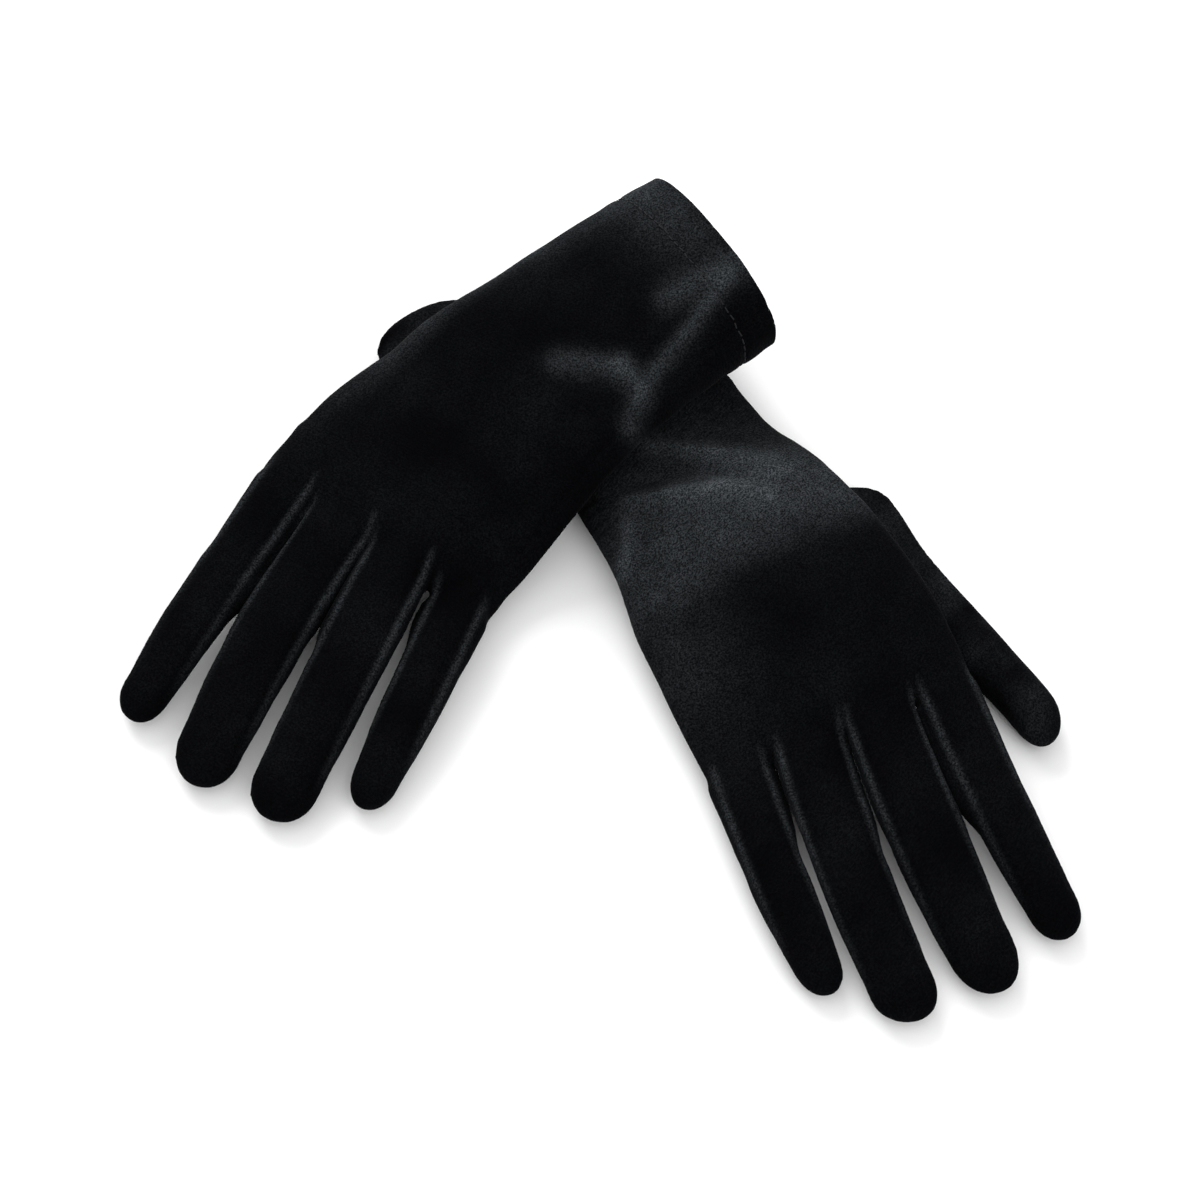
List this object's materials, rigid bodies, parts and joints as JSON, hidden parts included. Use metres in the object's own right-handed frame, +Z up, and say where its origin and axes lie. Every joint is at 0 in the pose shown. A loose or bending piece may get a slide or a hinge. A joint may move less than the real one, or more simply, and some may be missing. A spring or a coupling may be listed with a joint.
{
  "type": "pair of dress gloves",
  "caption": "Pair of short stretch-velvet dress gloves lying palm down with the left cuff across the right, fingers and thumbs that bend.",
  "frame": {"origin": "on the surface the pair lies on, under the middle of its overall box", "axes": "+Z up; +X across the pair, from the left glove to the right one; -Y towards the fingertips"},
  "size_m": [0.2746, 0.26, 0.051],
  "materials": {
    "velvet": "black stretch velvet, matte with a soft sheen at glancing angles",
    "hem": "the same velvet turned in, knitted side showing"
  },
  "bodies": {
    "right_hand": {"right_back": "velvet", "right_hem": "hem", "right_palm": "velvet"},
    "right_index_finger": {"right_index_back": "velvet", "right_index_fourchette_to_middle": "velvet", "right_index_front": "velvet"},
    "right_middle_finger": {"right_middle_back": "velvet", "right_middle_fourchette_to_index": "velvet", "right_middle_fourchette_to_ring": "velvet", "right_middle_front": "velvet"},
    "right_ring_finger": {"right_ring_back": "velvet", "right_ring_fourchette_to_middle": "velvet", "right_ring_fourchette_to_pinky": "velvet", "right_ring_front": "velvet"},
    "right_pinky_finger": {"right_pinky_back": "velvet", "right_pinky_fourchette_to_ring": "velvet", "right_pinky_front": "velvet"},
    "right_thumb": {"right_thumb": "velvet"},
    "left_hand": {"left_back": "velvet", "left_hem": "hem", "left_palm": "velvet"},
    "left_index_finger": {"left_index_back": "velvet", "left_index_fourchette_to_middle": "velvet", "left_index_front": "velvet"},
    "left_middle_finger": {"left_middle_back": "velvet", "left_middle_fourchette_to_index": "velvet", "left_middle_fourchette_to_ring": "velvet", "left_middle_front": "velvet"},
    "left_ring_finger": {"left_ring_back": "velvet", "left_ring_fourchette_to_middle": "velvet", "left_ring_fourchette_to_pinky": "velvet", "left_ring_front": "velvet"},
    "left_pinky_finger": {"left_pinky_back": "velvet", "left_pinky_fourchette_to_ring": "velvet", "left_pinky_front": "velvet"},
    "left_thumb": {"left_thumb": "velvet"}
  },
  "joints": [
    {"name": "right_index_lift", "type": "hinge", "parent": "right_hand", "child": "right_index_finger", "pos_m": [0.09823, -0.02851, 0.0155], "axis": [-0.9063, -0.4226, 0], "range_deg": [0, 80]},
    {"name": "right_middle_lift", "type": "hinge", "parent": "right_hand", "child": "right_middle_finger", "pos_m": [0.07941, -0.03719, 0.0155], "axis": [-0.9426, -0.3338, 0], "range_deg": [0, 80]},
    {"name": "right_ring_lift", "type": "hinge", "parent": "right_hand", "child": "right_ring_finger", "pos_m": [0.05901, -0.04436, 0.01175], "axis": [-0.9588, -0.284, 0], "range_deg": [0, 80]},
    {"name": "right_pinky_lift", "type": "hinge", "parent": "right_hand", "child": "right_pinky_finger", "pos_m": [0.0389, -0.05147, 0.0065], "axis": [-0.9583, -0.2858, 0], "range_deg": [0, 80]},
    {"name": "right_thumb_swing", "type": "hinge", "parent": "right_hand", "child": "right_thumb", "pos_m": [0.06974, 0.01849, 0.004], "axis": [0, 0, 1], "range_deg": [0, 45]},
    {"name": "left_index_lift", "type": "hinge", "parent": "left_hand", "child": "left_index_finger", "pos_m": [-0.0907, 0.04063, 0.0155], "axis": [-0.8526, 0.5225, 0], "range_deg": [0, 80]},
    {"name": "left_middle_lift", "type": "hinge", "parent": "left_hand", "child": "left_middle_finger", "pos_m": [-0.07512, 0.02696, 0.0155], "axis": [-0.8988, 0.4384, 0], "range_deg": [0, 80]},
    {"name": "left_ring_lift", "type": "hinge", "parent": "left_hand", "child": "left_ring_finger", "pos_m": [-0.05759, 0.01429, 0.0155], "axis": [-0.9205, 0.3907, 0], "range_deg": [0, 80]},
    {"name": "left_pinky_lift", "type": "hinge", "parent": "left_hand", "child": "left_pinky_finger", "pos_m": [-0.04038, 0.00171, 0.00985], "axis": [-0.9189, 0.3945, 0], "range_deg": [0, 80]},
    {"name": "left_thumb_swing", "type": "hinge", "parent": "left_hand", "child": "left_thumb", "pos_m": [-0.0382, 0.08933, 0.004], "axis": [0, 0, -1], "range_deg": [0, 75]},
    {"name": "left_glove_off", "type": "slide", "parent": "right_hand", "child": "left_hand", "axis": [0, 0, 1], "range_m": [0, 0.12]}
  ]
}
